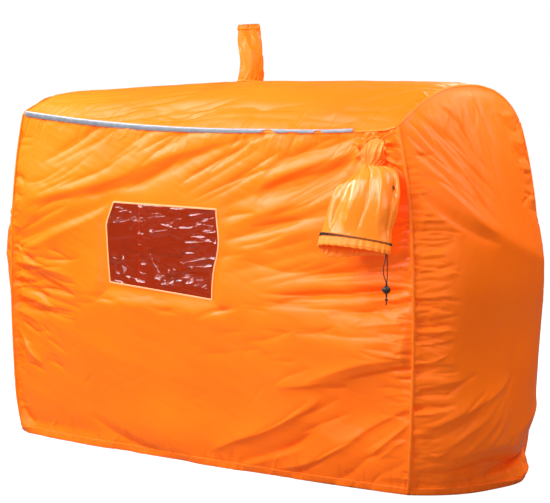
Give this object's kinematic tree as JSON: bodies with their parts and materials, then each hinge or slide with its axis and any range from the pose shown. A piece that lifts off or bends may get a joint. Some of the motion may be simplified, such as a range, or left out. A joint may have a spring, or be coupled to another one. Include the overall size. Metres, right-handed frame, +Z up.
{
  "type": "emergency tent",
  "caption": "Pole-less group emergency shelter of thin orange fabric with a clear window, two sleeve vents, reflective tape, bound seams and a drawcord lock.",
  "frame": {"origin": "on the ground under the middle of the shelter's bounding box", "axes": "+Z up, +X towards the right end panel as seen from the front, the front panel with the window faces -Y"},
  "size_m": [1.7586, 0.6516, 1.1475],
  "materials": {
    "orange_nylon": "thin coated nylon with a faint sheen",
    "binding_tape": "bound seam tape",
    "seat_fabric": "heavier matt coated fabric",
    "clear_film": "clear crinkled film",
    "reflective_tape": "retroreflective, grey",
    "dark_thread": "matt thread",
    "dark_cord": "braided cord",
    "black_plastic": "moulded, satin",
    "spring_steel": "bright wire",
    "eyelet_metal": "dark oxidised"
  },
  "bodies": {
    "shelter": {"front_panel": "orange_nylon", "rear_panel": "orange_nylon", "right_end_panel": "orange_nylon", "left_end_panel": "orange_nylon", "roof_panel": "orange_nylon", "window_film": "clear_film", "window_binding": "binding_tape", "front_reflective_tape": "reflective_tape", "rear_reflective_tape": "reflective_tape", "front_roof_seam": "binding_tape", "rear_roof_seam": "binding_tape", "right_roof_seam": "binding_tape", "left_roof_seam": "binding_tape", "front_left_seam": "binding_tape", "front_right_seam": "binding_tape", "rear_left_seam": "binding_tape", "rear_right_seam": "binding_tape", "front_hem_band": "binding_tape", "rear_hem_band": "binding_tape", "right_hem_band": "binding_tape", "left_hem_band": "binding_tape", "right_seat_panel": "seat_fabric", "left_seat_panel": "seat_fabric", "side_vent_collar": "binding_tape", "roof_vent_collar": "binding_tape"},
    "side_vent": {"side_vent_sleeve": "orange_nylon", "side_vent_cuff": "orange_nylon", "side_vent_drawcord": "dark_cord", "side_vent_stitching": "dark_thread", "side_vent_tab": "binding_tape", "side_vent_eyelet": "eyelet_metal", "drawcord_strand_rear": "dark_cord", "drawcord_strand_front": "dark_cord", "drawcord_knot": "dark_cord"},
    "cord_lock": {"cord_lock_ball": "black_plastic", "cord_lock_spring": "spring_steel"},
    "lock_plunger": {"cord_lock_plunger": "black_plastic"},
    "roof_vent": {"roof_vent_sleeve": "orange_nylon", "roof_vent_cuff": "dark_thread", "roof_vent_eyelet": "eyelet_metal"}
  },
  "joints": [
    {"name": "side_vent_hinge", "type": "hinge", "parent": "shelter", "child": "side_vent", "pos_m": [0.6411, -0.2009, 0.877], "axis": [-1, 0, 0], "range_deg": [0, 55]},
    {"name": "roof_vent_hinge", "type": "hinge", "parent": "shelter", "child": "roof_vent", "pos_m": [-0.0819, 0.1427, 0.9836], "axis": [-1, 0, 0], "range_deg": [0, 75]},
    {"name": "cord_lock_slide", "type": "slide", "parent": "side_vent", "child": "cord_lock", "axis": [0, 0, 1], "range_m": [-0.009, 0.066], "deforming": ["drawcord_strand_rear", "drawcord_strand_front"]},
    {"name": "lock_plunger_press", "type": "slide", "parent": "cord_lock", "child": "lock_plunger", "axis": [1, 0, 0], "range_m": [0, 0.002], "stiffness_N_per_m": 300, "springref_m": -0.002, "deforming": ["cord_lock_spring"]}
  ]
}
